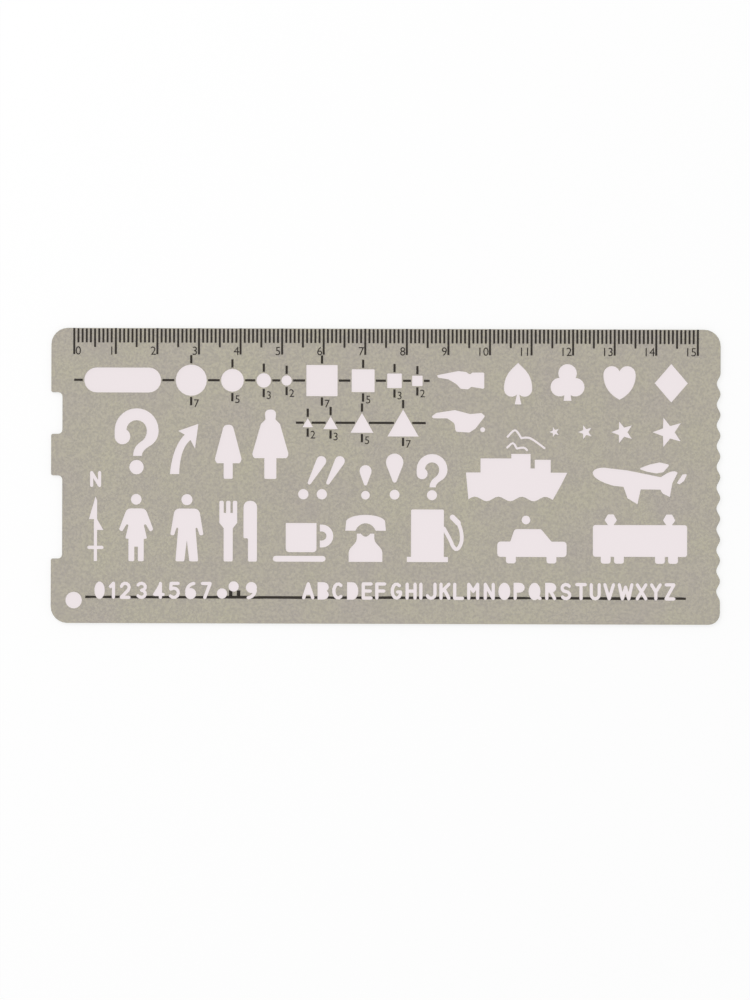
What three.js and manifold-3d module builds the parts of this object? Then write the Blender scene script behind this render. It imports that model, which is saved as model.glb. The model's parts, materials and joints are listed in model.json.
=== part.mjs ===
// Template ruler: one clear plastic sheet with a centimetre scale along its upper edge, rows of
// cut-outs to draw through, a wavy right edge, two steps in the left edge and a hanging hole.
// Millimetres. +X runs along the scale, +Y points to the scale edge, +Z up from the back face.
// The origin is the middle of the back face.

import * as THREE from "three";
import { mergeVertices } from "three/addons/utils/BufferGeometryUtils.js";
import Module from "manifold-3d";

const wasm = await Module();
wasm.setup();

// Sheet
const SHEET_LENGTH = 161;
const SHEET_WIDTH = 71;
const THICKNESS = 0.8;
const CORNER_RADIUS = 4;
const CENTIMETRE = 10;
const END_MARGIN = 5.5; // least room between an end of the scale and the end of the sheet
const HOLE_DIAMETER = 4;
const HOLE_INSET = 5.5; // hole centre from the left edge and from the lower edge
const STEP_DEPTH = 2.7; // the two steps in the left edge
const STEP_INNER_RADIUS = 1;
const STEP_OUTER_RADIUS = 0.4;
const UPPER_STEP = { drop: 15.5, length: 10 };
const LOWER_STEP = { drop: 35.5, length: 20 };
const WAVE_PITCH = 5;
const WAVE_DEPTH = 0.9;
const WAVE_DROP = 10.5; // from the scale edge to the first crest
const WAVE_FACETS = 10; // on each wave
const CHORD_ERROR = 0.035; // how far a facet may lie inside the true curve
const CURVE_STEP = 0.9; // length of a facet on a free curve
const OVERCUT = 1; // how far a cutter stands out of each face
const SAME_POINT = 1e-3; // points closer than this are one
const STRAIGHT = 1e-6; // a corner that turns less than this is no corner

// Rows. Those by the scale hang from it, the letters stand off the lower edge, and the rows between
// lie at these shares of the sheet's width from the scale edge.
const SCALE_GAP = 0.15; // between the scale's longest marks and the index marks under them
const TRIANGLE_STEP = 10.15; // from the axis of the shape row down to that of the triangles
const SUIT_STEP = 0.4; // from the axis of the shape row down to the card suits
const HAND_RISE = 0.2; // from the axis of the shape row up to the hand
const LOWER_HAND_RISE = 0.45; // from the axis of the triangles up to the lower hand
const STAR_STEP = 2.05; // from the axis of the triangles down to the stars
const QUESTION_ROW = 0.3465;
const ARROW_ROW = 0.4944;
const TREE_ROW = 0.5099;
const MARK_ROW = 0.5789;
const FIGURE_ROW = 0.7901;
const LETTER_MARGIN = 5.8; // from the letters' base line to the lower edge

// Shape rows: every cut-out is its nominal size plus room for the pencil
const PENCIL_ALLOWANCE = 0.5;
const NOMINAL_SIZES = [7, 5, 3, 2];
const SIZE_WEBS = [3.4, 3.05, 2.5]; // how the material between the sizes compares
const SET_WEB = 3.5; // and that before a new set of sizes
const SLOT_LENGTH = 18.5;
const SLOT_WIDTH = 6;
const SHAPE_SPAN = [-0.4509, 0.0547]; // ends of a row, as places are given below
const TRIANGLE_SPAN = [-0.1245, 0.0491];
const STAR_SPAN = [0.2444, 0.4453];
const STAR_WAIST = 0.42; // inner radius as a share of the outer one
const SQUARE_CORNER = 0.15;

// Ink
const INK_THICKNESS = 0.03;
const INK_CLEARANCE = 0.3; // between an ink line and the rim of a cut-out
const AXIS_WIDTH = 0.55;
const SHAPE_LEAD = 2.4; // the axis line before the first cut-out of a row
const TRIANGLE_LEAD = 1.6;
const AXIS_TAIL = 1.7; // and after the last one
const INDEX_LENGTH = 2;
const CENTIMETRE_MARK_LENGTH = 6.3;
const CENTIMETRE_MARK_WIDTH = 0.5;

// Figures. Each is placed along its row by at, a share of the sheet's length from the middle.

// Card suits
const SPADE = { at: 0.1975, half: 3.4, top: 4.8, lobe: 1.85, lobeY: -1.5, foot: -5.2, footHalf: 0.8 };
const CLUB = { at: 0.2714, lobe: 2.25, topY: 2.3, sideX: 1.85, sideY: -1, foot: -4.3, footHalf: 0.95 };
const HEART = { at: 0.3491, half: 3.9, top: 4.1, lobe: 2.05, tip: -4 };
const DIAMOND = { at: 0.4264, half: 4, halfHeight: 4.65 };

// Pointing hands and gulls
const HAND_AT = 0.1112;
const LOWER_HAND_AT = 0.1081;
const GULL_AT = 0.205;
const GULL_RISE = 3.5; // from the ship's bridge up to the gulls
const HAND = [ // x, y and corner radius, from the fingertip along the back of the hand to the cuff
  [-5.75, 1.15, 0.4],
  [-0.5, 2.2, 1],
  [1.4, 1.95, 0.5],
  [2.3, 1.35, 0.4],
  [2.9, 1.85, 0.3],
  [5.75, 1.85, 0.3],
  [5.75, -2.1, 0.3],
  [2.6, -1.6, 0.3],
  [1.9, -2.2, 0.5],
  [0.1, -2.1, 0.5],
  [-0.9, -1, 1],
  [-2.9, 0.2, 1],
  [-5.3, 0.55, 0.3],
];
const LOWER_HAND = [
  [-6.5, 1.1, 0.4],
  [-5.2, 2, 0.8],
  [-0.8, 2.7, 1],
  [2.9, 1.75, 0.5],
  [5.6, 2, 0.3],
  [6.5, 1.3, 0.3],
  [4.2, -1.7, 0.3],
  [2.7, -2.7, 0.5],
  [-0.6, -2.5, 0.5],
  [-0.9, -0.5, 0.8],
  [-2.6, 0.7, 0.8],
  [-5.9, 0.7, 0.3],
];
const CUFF_BUTTON = { x: 5.9, y: -2, radius: 0.6 };
const GULL_SLIT = 0.5;
const GULL_WINGS = [ // each wing passes through three points
  [[-3.7, 0.6], [-1.9, 2.2], [-0.4, 0.3]],
  [[-0.4, 0.3], [1.8, 0.25], [5.2, -2.1]],
  [[-3.8, -2], [-2.4, -0.9], [-1.5, -2.2]],
  [[-1.5, -2.2], [0.2, -2], [1, -2.6]],
];

// Question and exclamation marks
const BIG_QUESTION = { at: -0.3724, scale: 1 };
const SMALL_QUESTION = { at: 0.0693, scale: 0.7, rise: 7.3 };
const QUESTION_OUTER = 5.3;
const QUESTION_INNER = 2.45;
const QUESTION_BALL = 1.9;
const QUESTION_DOT = 1.75;
const QUESTION_DOT_DROP = 8.85;
const QUESTION_STEM_DROP = 6.15;
const SLANTED_MARKS = [-0.1078, -0.0801];
const SLANT = { topX: 1.85, topY: 9.25, head: 1.2, tipX: -1, tipY: 4, tip: 0.42, dotX: -2.45, dot: 1.25 };
const SHORT_MARK = { at: -0.0301, topY: 6.85, head: 1.45, tipY: 3.75, tip: 0.38, dot: 1.05 };
const TALL_MARK = { at: 0.0134, topY: 9, head: 2.1, tipY: 4.6, tip: 0.5, dot: 1.2 };

// Bent arrow and trees
const ARROW_AT = -0.3043;
const ARROW = [ // a point ends a line, and a point after its control point ends a curve
  [-2.95, 0],
  [-0.7, 0],
  [-0.5, 6.2, 2, 8.2],
  [3.1, 6.1],
  [3.9, 12.1],
  [-0.95, 10.4],
  [0.6, 9.5],
  [-2.3, 6.6, -2.95, 0],
];
const SMALL_TREE = { at: -0.2354, top: 13, topHalf: 1.05, skirtHalf: 3.25, skirt: 3.75, trunkHalf: 1.1 };
const BIG_TREE = { at: -0.1724, top: 16.7, topHalf: 1.45, skirtHalf: 4.4, skirt: 5, trunkHalf: 1.45 };
const TREE_CORNER = 0.9;
const BIG_TREE_NECK = { y: 14.3, half: 1.2, shoulderY: 13.2, shoulderHalf: 2.3 };

// Ship and aeroplane
const SHIP = { at: 0.1957, half: 12.2, deck: 6.6, sternRake: 0.6 };
const SHIP_BOW = { rake: 3.5, bend: 1.5, bendDrop: 3 };
const SWELL = { y: 0.25, height: 0.55, pitch: 5.65, x: -7.2, facets: 28 }; // the waves along the keel
const CABIN = { left: -8.7, right: -1.3, top: 10 };
const BRIDGE = { right: 3.35, top: 11.1 };
const FUNNEL = { left: 4.35, right: 8.2, top: 9.7, foot: 7.6 };
const PLANE_AT = 0.3727;
const PLANE_HULL = [ // with the near wing and the tail, drawn as the arrow is
  [-10.2, 6.7],
  [-9.9, 7.75, -7.6, 7.85],
  [-1.8, 7.2],
  [6.2, 5.6],
  [7.6, 6.5],
  [9.6, 7.5, 10.25, 6.65],
  [9, 4.15],
  [8.4, 0.8],
  [6.6, 1.7],
  [6.1, 2.6],
  [1.4, 2.65],
  [0.6, -0.95],
  [-1.8, 0.5],
  [-2.8, 3.25],
  [-5.2, 3.5],
  [-10.2, 4.9, -10.2, 6.7],
];
const FAR_WING = [
  [2.9, 6.9],
  [5.1, 6.5],
  [6.8, 6.8],
  [8.4, 8.6, 0.3],
  [5.9, 9.15, 0.5],
  [3.4, 8.6],
  [0.8, 7.6, 0.2],
];
const FAR_TAIL = [
  [10.7, 3.9, 0.2],
  [11.8, 4.7],
  [12.6, 6.4, 0.2],
  [11.4, 6.25],
  [10, 4.15, 0.2],
];

// North mark
const NORTH_AT = -0.4335;
const NORTH_STROKE = 0.8;
const NORTH_LETTER = { half: 0.95, foot: 18.2, top: 21.3 };
const NEEDLE = { tip: 15.6, point: 1, barb: 10.1, barbLeft: 1.6, fluke: 7.5, flukeRight: 1.9 };
const CROSSBAR = { y: 3.3, half: 1.575 };

// Figures that stand on the figure line
const FIGURE_CORNER = 0.3;
const WOMAN = { at: -0.3727, head: 1.3, headY: 14.9, shoulder: 12.7, armpit: 10.4 };
const WOMAN_HALF = { shoulder: 2.25, armpit: 1.45 };
const SKIRT = { foot: 5.4, half: 2.65, legInner: 0.42, legOuter: 1.85, legTop: 3.5 };
const WOMAN_HAND = { innerX: 3.35, innerY: 7.1, outerX: 4.15, outerY: 7.6 };
const MAN = { at: -0.2969, head: 1.35, headY: 14.85, shoulder: 12.7, armpit: 9.7 };
const MAN_HALF = { shoulder: 2.95, armpit: 1.95 };
const TROUSERS = { fork: 5, legInner: 0.6, legOuter: 2.75 };
const MAN_HAND = { innerX: 3.1, innerY: 6.2, outerX: 4, outerY: 6.4 };
const FORK = { at: -0.2351, half: 2.15, height: 14.6, slitFoot: 11.7, slit: 0.55 };
const FORK_HANDLE = { half: 1.1, neck: 9.3, shoulder: 8 };
const KNIFE = { at: -0.2022, half: 1.63, height: 14.6, tipRadius: 1.45, bladeFoot: 5.6, step: 1.1 };
const CUP = { at: -0.1261, half: 3.7, foot: 2.3, top: 9.3, corner: 0.8 };
const CUP_HANDLE = { web: 0.8, straight: 0.5, y: 6.2, outer: 2.75, inner: 1.1 };
const SAUCER = { at: -0.1289, half: 6.35, height: 1.4 };
const PHONE_AT = -0.0298;
const HANDSET = { half: 4.9, foot: 7.5, shoulder: 9.9, crown: 11.3, earHalf: 2.45, arch: 9.3 };
const HANDSET_TAPER = 0.25; // how far its ends draw in up to the shoulder
const PHONE_BODY = { half: 4.05, side: 2.2, neck: 5.6, neckHalf: 2.1, top: 6.8, hornInner: 1.15, dip: 6.05 };
const PUMP = { at: 0.0627, half: 3.95, height: 12.65, baseHalf: 4.95, base: 1.25 };
const HOSE_WIDTH = 0.9;
const HOSE = [ // from the side of the pump round to the nozzle
  [3.95, 8.1],
  [5.5, 5.3],
  [6.1, 3.9],
  [6.9, 3.1],
  [7.7, 3.7],
  [8.25, 5.3],
  [8.1, 7.5],
  [7.4, 9.4],
];
const NOZZLE_WIDTH = 1.3;
const NOZZLE = { x: 6, y: 10.8 }; // its free end
const CAR = { at: 0.2189, half: 8.35, belt: 5, floor: 1.3, roof: 8, corner: 0.8 };
const CAR_GLASS = { rearFoot: -5.2, rearTop: -4.2, frontTop: 2.2, frontFoot: 4.7 };
const CAR_LAMP = { x: -1.45, y: 10.2, radius: 1.05 };
const CAR_WHEELS = [-5.05, 4.7];
const TRAIN = { at: 0.3804, half: 11.35, floor: 1.4, roof: 9.05, corner: 0.6 };
const TRAIN_WHEELS = [-8.25, -5.05, 4.8, 7.95];
const PANTOGRAPHS = [-7.05, 7];
const PANTOGRAPH = { half: 1.5, elbow: 10.2, top: 11.6, neck: 0.7 };
const WHEEL_HALF = 1.2;
const WHEEL_FOOT = -0.25;
const SUNK = 1; // how far a shape reaches into the one that it joins

// Digits and letters
const LETTER_STROKE = 0.8;
const LETTER_ERROR = 0.06; // the coarser facets of these small round ends
const LETTER_HEIGHT = 4.2;
const LETTER_HALF = 0.95; // from the middle to the middle of the side strokes
const DIGIT_LOOP = 2.5; // the two loops of the figure eight, which overlap when drawn one by one
const DIGIT_LOOPS = [{ at: -0.2441, y: 1.4 }, { at: -0.2267, y: 3.1 }];

// Values worked out from the ones above
const LEFT = -SHEET_LENGTH / 2;
const RIGHT = SHEET_LENGTH / 2;
const TOP = SHEET_WIDTH / 2;
const BOTTOM = -SHEET_WIDTH / 2;
const scaleRoom = SHEET_LENGTH - 2 * END_MARGIN;
const scaleCentimetres = Math.floor(scaleRoom / CENTIMETRE + SAME_POINT);
const scaleLength = scaleCentimetres * CENTIMETRE;
const cutSizes = NOMINAL_SIZES.map((size) => size + PENCIL_ALLOWANCE);
const alongX = (share) => share * SHEET_LENGTH;
const rowY = (share) => TOP - share * SHEET_WIDTH;
const shapeY = TOP - CENTIMETRE_MARK_LENGTH - SCALE_GAP - INDEX_LENGTH - INK_CLEARANCE - cutSizes[0] / 2;
const triangleY = shapeY - TRIANGLE_STEP;
const suitY = shapeY - SUIT_STEP;
const markY = rowY(MARK_ROW);
const treeY = rowY(TREE_ROW);
const figureY = rowY(FIGURE_ROW);
const letterY = BOTTOM + LETTER_MARGIN;

// Outline helpers: each gives a THREE.Shape in millimetres

const radians = THREE.MathUtils.degToRad;

// Facets on an arc, so that none strays from it by more than the chord error.
function arcFacets(radius, angle, error = CHORD_ERROR) {
  const share = Math.min(1, error / radius);
  return Math.max(2, Math.ceil(Math.abs(angle) / (2 * Math.acos(1 - share))));
}

function arcPoints(x, y, radius, from, to, radiusY = radius, error = CHORD_ERROR) {
  const facets = arcFacets(Math.max(radius, radiusY), to - from, error);
  return new THREE.EllipseCurve(x, y, radius, radiusY, from, to, to < from).getPoints(facets);
}

// A shape through points, less those that repeat or lie on the line between their neighbours.
function shapeOf(points) {
  const apart = points.filter((p, i) => p.distanceTo(points.at(i - 1)) > SAME_POINT);
  const needed = apart.filter((p, i) => {
    const before = apart.at(i - 1);
    const after = apart[(i + 1) % apart.length];
    const turn = p.clone().sub(before).cross(after.clone().sub(p));
    return Math.abs(turn) > STRAIGHT;
  });
  return new THREE.Shape(needed);
}

// A closed outline through corners [x, y, radius]; a corner with no radius is sharp. A fillet is
// kept to what its two sides have room for.
function outline(corners) {
  const spots = corners.map(([x, y]) => new THREE.Vector2(x, y));
  const points = corners.flatMap(([, , radius = 0], i) => {
    const spot = spots[i];
    if (!radius) return [spot];
    const before = spots.at(i - 1).clone().sub(spot);
    const after = spots[(i + 1) % spots.length].clone().sub(spot);
    const half = before.angleTo(after) / 2;
    const room = Math.min(before.length(), after.length()) / 2;
    const reach = Math.min(radius / Math.tan(half), room);
    const round = reach * Math.tan(half);
    const middle = before.clone().normalize().add(after.clone().normalize()).normalize();
    const centre = middle.multiplyScalar(round / Math.sin(half)).add(spot);
    const start = before.clone().setLength(reach).add(spot).sub(centre).angle();
    const turn = (Math.PI - 2 * half) * -Math.sign(before.cross(after));
    return arcPoints(centre.x, centre.y, round, start, start + turn);
  });
  return shapeOf(points);
}

// The corners of a right half, with its mirror image on the left.
function mirrored(half) {
  const left = half.filter(([x]) => x > 0).map(([x, y, radius]) => [-x, y, radius]);
  return outline([...half, ...left.reverse()]);
}

const disc = (x, y, radius, radiusY = radius) =>
  shapeOf(arcPoints(x, y, radius, 0, 2 * Math.PI, radiusY));

const rectangle = (left, bottom, right, top, radius = 0) =>
  outline([[left, bottom, radius], [right, bottom, radius], [right, top, radius], [left, top, radius]]);

// The outline round two discs and the two lines that touch both.
function taper(x0, y0, radius0, x1, y1, radius1) {
  const along = Math.atan2(y1 - y0, x1 - x0);
  const lean = Math.acos((radius0 - radius1) / Math.hypot(x1 - x0, y1 - y0));
  const far = arcPoints(x1, y1, radius1, along - lean, along + lean);
  const near = arcPoints(x0, y0, radius0, along + lean, along + 2 * Math.PI - lean);
  return shapeOf([...far, ...near]);
}

// A stroke of one width with round ends along a curve.
function ribbon(curve, width, error = CHORD_ERROR) {
  const facets = curve.isLineCurve ? 1 : Math.ceil(curve.getLength() / CURVE_STEP) + 2;
  const half = width / 2;
  const sides = [1, -1].map((side) =>
    Array.from({ length: facets + 1 }, (_, i) => {
      const along = curve.getTangent(i / facets);
      const across = new THREE.Vector2(-along.y, along.x).multiplyScalar(side * half);
      return curve.getPoint(i / facets).add(across);
    }),
  );
  const cap = (t, turn) => {
    const spot = curve.getPoint(t);
    const start = curve.getTangent(t).angle() + turn;
    return arcPoints(spot.x, spot.y, half, start, start + Math.PI, half, error);
  };
  return shapeOf([...sides[1], ...cap(1, -Math.PI / 2), ...sides[0].reverse(), ...cap(0, Math.PI / 2)]);
}

const line = (x0, y0, x1, y1) => new THREE.LineCurve(new THREE.Vector2(x0, y0), new THREE.Vector2(x1, y1));

const bow = (x, y, radiusX, radiusY, from, to) =>
  new THREE.EllipseCurve(x, y, radiusX, radiusY, radians(from), radians(to), to < from);

const through = (spots) => new THREE.SplineCurve(spots.map(([x, y]) => new THREE.Vector2(x, y)));

// Straight strokes from each corner of a bent line to the next.
function bent(...spots) {
  return spots.slice(1).map(([x, y], i) => line(spots[i][0], spots[i][1], x, y));
}

// A shape from a path of lines, arcs and free curves.
function traced(draw) {
  const path = new THREE.Path();
  draw(path);
  const points = path.curves.flatMap((curve) => {
    if (curve.isLineCurve) return [curve.v1, curve.v2];
    if (curve.isEllipseCurve) {
      return curve.getPoints(arcFacets(curve.xRadius, curve.aEndAngle - curve.aStartAngle));
    }
    return curve.getPoints(Math.ceil(curve.getLength() / CURVE_STEP) + 1);
  });
  return shapeOf(points);
}

// A shape from a list of points, where a point after its control point ends a curve.
function drawn([start, ...rest]) {
  return traced((path) => {
    path.moveTo(...start);
    for (const spot of rest) {
      if (spot.length === 2) path.lineTo(...spot);
      else path.quadraticCurveTo(...spot);
    }
  });
}

// Solid helpers

// A shape pulled up into a solid that passes through the sheet.
function cutter(shape, x, y) {
  const depth = THICKNESS + 2 * OVERCUT;
  const geometry = new THREE.ExtrudeGeometry(shape, { depth, bevelEnabled: false, curveSegments: 1 });
  return solidOf(geometry.translate(x, y, -OVERCUT));
}

function solidOf(geometry) {
  geometry.deleteAttribute("normal");
  geometry.deleteAttribute("uv");
  const merged = mergeVertices(geometry, SAME_POINT / 10);
  const vertProperties = new Float32Array(merged.attributes.position.array);
  const triVerts = new Uint32Array(merged.index.array);
  return new wasm.Manifold(new wasm.Mesh({ numProp: 3, vertProperties, triVerts }));
}

function geometryOf(solid) {
  const mesh = solid.getMesh();
  const geometry = new THREE.BufferGeometry();
  geometry.setAttribute("position", new THREE.BufferAttribute(mesh.vertProperties, 3));
  geometry.setIndex(new THREE.BufferAttribute(mesh.triVerts, 1));
  geometry.computeVertexNormals();
  return geometry;
}

// Sheet outline

function edgeStep({ drop, length }) {
  const upper = TOP - drop;
  const lower = upper - length;
  return [
    [LEFT, upper, STEP_OUTER_RADIUS],
    [LEFT + STEP_DEPTH, upper, STEP_INNER_RADIUS],
    [LEFT + STEP_DEPTH, lower, STEP_INNER_RADIUS],
    [LEFT, lower, STEP_OUTER_RADIUS],
  ];
}

// As many whole waves as fit between the first crest and the lower corner, from the lowest one up.
function wavyEdge() {
  const waves = Math.floor((SHEET_WIDTH - WAVE_DROP - CORNER_RADIUS) / WAVE_PITCH);
  const foot = TOP - WAVE_DROP - waves * WAVE_PITCH;
  return Array.from({ length: waves * WAVE_FACETS + 1 }, (_, i) => {
    const inward = (WAVE_DEPTH / 2) * (1 - Math.cos((2 * Math.PI * i) / WAVE_FACETS));
    return [RIGHT - inward, foot + (i * WAVE_PITCH) / WAVE_FACETS];
  });
}

function sheetOutline() {
  return outline([
    [LEFT, BOTTOM, CORNER_RADIUS],
    [RIGHT, BOTTOM, CORNER_RADIUS],
    ...wavyEdge(),
    [RIGHT, TOP, CORNER_RADIUS],
    [LEFT, TOP, CORNER_RADIUS],
    ...edgeStep(UPPER_STEP),
    ...edgeStep(LOWER_STEP),
  ]);
}

// Shape rows: where each cut-out's middle lies between the two ends of its row. The webs share out
// the room that the cut-outs leave.
function spread([from, to], sizes, webs) {
  const total = (values) => values.reduce((sum, value) => sum + value, 0);
  const room = alongX(to - from) - total(sizes);
  let edge = alongX(from);
  return sizes.map((size, i) => {
    const x = edge + size / 2;
    edge += size + (room * (webs[i] ?? 0)) / total(webs);
    return { x, size };
  });
}

const shapeSizes = [SLOT_LENGTH, ...cutSizes, ...cutSizes];
const shapeWebs = [SET_WEB, ...SIZE_WEBS, SET_WEB, ...SIZE_WEBS];
const [slot, ...shapes] = spread(SHAPE_SPAN, shapeSizes, shapeWebs);
const circles = shapes.slice(0, cutSizes.length);
const squares = shapes.slice(cutSizes.length);
const triangles = spread(TRIANGLE_SPAN, cutSizes.toReversed(), SIZE_WEBS.toReversed());
const stars = spread(STAR_SPAN, cutSizes.toReversed(), SIZE_WEBS.map(() => 1));
const triangleHeight = (size) => (size * Math.sqrt(3)) / 2;

function triangleShape(size) {
  const half = triangleHeight(size) / 2;
  return outline([[-size / 2, -half], [size / 2, -half], [0, half]]);
}

function starShape(size) {
  const corners = Array.from({ length: 10 }, (_, i) => {
    const radius = (size / 2) * (i % 2 ? STAR_WAIST : 1);
    const angle = radians(180 + 36 * i);
    return [radius * Math.cos(angle), radius * Math.sin(angle)];
  });
  return outline(corners);
}

// Card suits

function spadeShapes() {
  const { half, top, lobe, lobeY, foot, footHalf } = SPADE;
  const lobeX = half - lobe;
  const blade = traced((path) => {
    path.moveTo(0, lobeY);
    path.lineTo(half, lobeY);
    path.bezierCurveTo(half, top * 0.45, half * 0.4, top * 0.7, 0, top);
    path.bezierCurveTo(-half * 0.4, top * 0.7, -half, top * 0.45, -half, lobeY);
  });
  const stem = mirrored([[0, lobeY], [footHalf, foot]]);
  return [blade, disc(lobeX, lobeY, lobe), disc(-lobeX, lobeY, lobe), stem];
}

function clubShapes() {
  const { lobe, topY, sideX, sideY, foot, footHalf } = CLUB;
  const stem = mirrored([[0, topY], [footHalf, foot]]);
  return [disc(0, topY, lobe), disc(sideX, sideY, lobe), disc(-sideX, sideY, lobe), stem];
}

function heartShapes() {
  const { half, top, lobe, tip } = HEART;
  const lobeX = half - lobe;
  const lobeY = top - lobe;
  const point = traced((path) => {
    path.moveTo(-half, lobeY);
    path.bezierCurveTo(-half, 0, -half * 0.78, tip * 0.62, 0, tip);
    path.bezierCurveTo(half * 0.78, tip * 0.62, half, 0, half, lobeY);
    path.lineTo(-half, lobeY);
  });
  return [point, disc(lobeX, lobeY, lobe), disc(-lobeX, lobeY, lobe)];
}

const diamondShapes = () => [
  outline([[DIAMOND.half, 0], [0, DIAMOND.halfHeight], [-DIAMOND.half, 0], [0, -DIAMOND.halfHeight]]),
];

// Hands and gulls

const lowerHandShapes = () => [outline(LOWER_HAND), disc(CUFF_BUTTON.x, CUFF_BUTTON.y, CUFF_BUTTON.radius)];
const gullShapes = () => GULL_WINGS.map((wing) => ribbon(through(wing), GULL_SLIT));

// Question and exclamation marks

// A question mark about the middle of its bowl.
function questionShapes(scale) {
  const outer = QUESTION_OUTER * scale;
  const inner = QUESTION_INNER * scale;
  const stroke = outer - inner;
  const ballY = -0.28 * outer;
  const stemLeft = -0.16 * outer;
  const stemRight = 0.24 * outer;
  const stemFoot = -QUESTION_STEM_DROP * scale;
  const bowl = traced((path) => {
    path.moveTo(stemLeft, stemFoot);
    path.lineTo(stemRight, stemFoot);
    path.quadraticCurveTo(stemRight, stemFoot * 0.8, outer * 0.55, -outer * 0.74);
    path.quadraticCurveTo(outer, -outer * 0.5, outer, 0);
    path.absarc(0, 0, outer, 0, Math.PI, false);
    path.lineTo(-outer, ballY);
    path.absarc(-outer + stroke / 2, ballY, stroke / 2, Math.PI, 2 * Math.PI, false);
    path.lineTo(-inner, 0);
    path.absarc(0, 0, inner, Math.PI, 0, true);
    path.quadraticCurveTo(inner, -inner * 0.75, inner * 0.45, -inner * 1.1);
    path.quadraticCurveTo(stemLeft, -inner * 1.6, stemLeft, stemFoot);
  });
  const ball = disc(-outer + QUESTION_BALL * scale, ballY, QUESTION_BALL * scale);
  return [bowl, ball, disc(0, -QUESTION_DOT_DROP * scale, QUESTION_DOT * scale)];
}

const slantedShapes = () => [
  taper(SLANT.topX, SLANT.topY, SLANT.head, SLANT.tipX, SLANT.tipY, SLANT.tip),
  disc(SLANT.dotX, SLANT.dot, SLANT.dot),
];

const exclamationShapes = ({ topY, head, tipY, tip, dot }) => [
  taper(0, topY, head, 0, tipY, tip),
  disc(0, dot, dot),
];

// Trees

function treeShapes({ top, topHalf, skirtHalf, skirt, trunkHalf }, neck) {
  const waist = neck ? [[neck.half, neck.y], [neck.shoulderHalf, neck.shoulderY, TREE_CORNER / 2]] : [];
  return [
    mirrored([
      [topHalf, top, topHalf],
      ...waist,
      [skirtHalf, skirt + TREE_CORNER, TREE_CORNER],
      [skirtHalf - TREE_CORNER / 2, skirt, TREE_CORNER / 2],
      [trunkHalf, skirt],
      [trunkHalf, 0, TREE_CORNER / 3],
    ].reverse()),
  ];
}

// Ship, from the waves under its hull

function shipShapes() {
  const { half, deck, sternRake } = SHIP;
  const stern = sternRake - half;
  const keel = half - SHIP_BOW.rake;
  const swells = Array.from({ length: SWELL.facets + 1 }, (_, i) => {
    const x = stern + ((keel - stern) * i) / SWELL.facets;
    return [x, SWELL.y - SWELL.height * Math.cos((2 * Math.PI * (x - SWELL.x)) / SWELL.pitch)];
  });
  return [
    outline([
      ...swells,
      [half - SHIP_BOW.bend, deck - SHIP_BOW.bendDrop],
      [half, deck],
      [FUNNEL.right, deck],
      [FUNNEL.right, FUNNEL.top],
      [FUNNEL.left, FUNNEL.top],
      [FUNNEL.left, FUNNEL.foot],
      [BRIDGE.right, FUNNEL.foot],
      [BRIDGE.right, BRIDGE.top],
      [CABIN.right, BRIDGE.top],
      [CABIN.right, CABIN.top],
      [CABIN.left, CABIN.top],
      [CABIN.left, deck],
      [-half, deck],
    ]),
  ];
}

// North mark: the letter over a needle with half a head and a crossbar

function northShapes() {
  const half = NORTH_STROKE / 2;
  const { half: side, foot, top } = NORTH_LETTER;
  const letter = bent([-side, foot], [-side, top], [side, foot], [side, top]);
  return [
    ...letter.map((stroke) => ribbon(stroke, NORTH_STROKE)),
    outline([
      [-half, 0],
      [half, 0],
      [half, NEEDLE.fluke],
      [NEEDLE.flukeRight, NEEDLE.fluke],
      [half, NEEDLE.barb],
      [half, NEEDLE.tip - NEEDLE.point],
      [0, NEEDLE.tip],
      [-NEEDLE.barbLeft, NEEDLE.barb],
      [-half, NEEDLE.barb],
    ]),
    ribbon(line(-CROSSBAR.half, CROSSBAR.y, CROSSBAR.half, CROSSBAR.y), NORTH_STROKE),
  ];
}

// People

function womanShapes() {
  const { head, headY, shoulder, armpit } = WOMAN;
  return [
    disc(0, headY, head),
    mirrored([
      [SKIRT.legInner, SKIRT.legTop],
      [SKIRT.legInner, 0, FIGURE_CORNER],
      [SKIRT.legOuter, 0, FIGURE_CORNER],
      [SKIRT.legOuter, SKIRT.foot],
      [SKIRT.half, SKIRT.foot, FIGURE_CORNER],
      [WOMAN_HALF.armpit, armpit, FIGURE_CORNER],
      [WOMAN_HAND.innerX, WOMAN_HAND.innerY, FIGURE_CORNER],
      [WOMAN_HAND.outerX, WOMAN_HAND.outerY, FIGURE_CORNER],
      [WOMAN_HALF.shoulder, shoulder, head],
    ]),
  ];
}

function manShapes() {
  const { head, headY, shoulder, armpit } = MAN;
  return [
    disc(0, headY, head),
    mirrored([
      [0, TROUSERS.fork],
      [TROUSERS.legInner, 0, FIGURE_CORNER],
      [TROUSERS.legOuter, 0, FIGURE_CORNER],
      [MAN_HALF.armpit, armpit, FIGURE_CORNER],
      [MAN_HAND.innerX, MAN_HAND.innerY, FIGURE_CORNER],
      [MAN_HAND.outerX, MAN_HAND.outerY, FIGURE_CORNER],
      [MAN_HALF.shoulder, shoulder, head],
    ]),
  ];
}

// Tableware

function forkShapes() {
  const { half, height, slitFoot, slit } = FORK;
  const { half: handleHalf, neck, shoulder } = FORK_HANDLE;
  const tine = (2 * half - 2 * slit) / 3;
  const lefts = [0, 1, 2].map((i) => -half + i * (tine + slit));
  return [
    ...lefts.map((left) => rectangle(left, neck, left + tine, height, FIGURE_CORNER)),
    mirrored([[handleHalf, 0, FIGURE_CORNER], [handleHalf, shoulder], [half, neck], [half, slitFoot]]),
  ];
}

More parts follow.
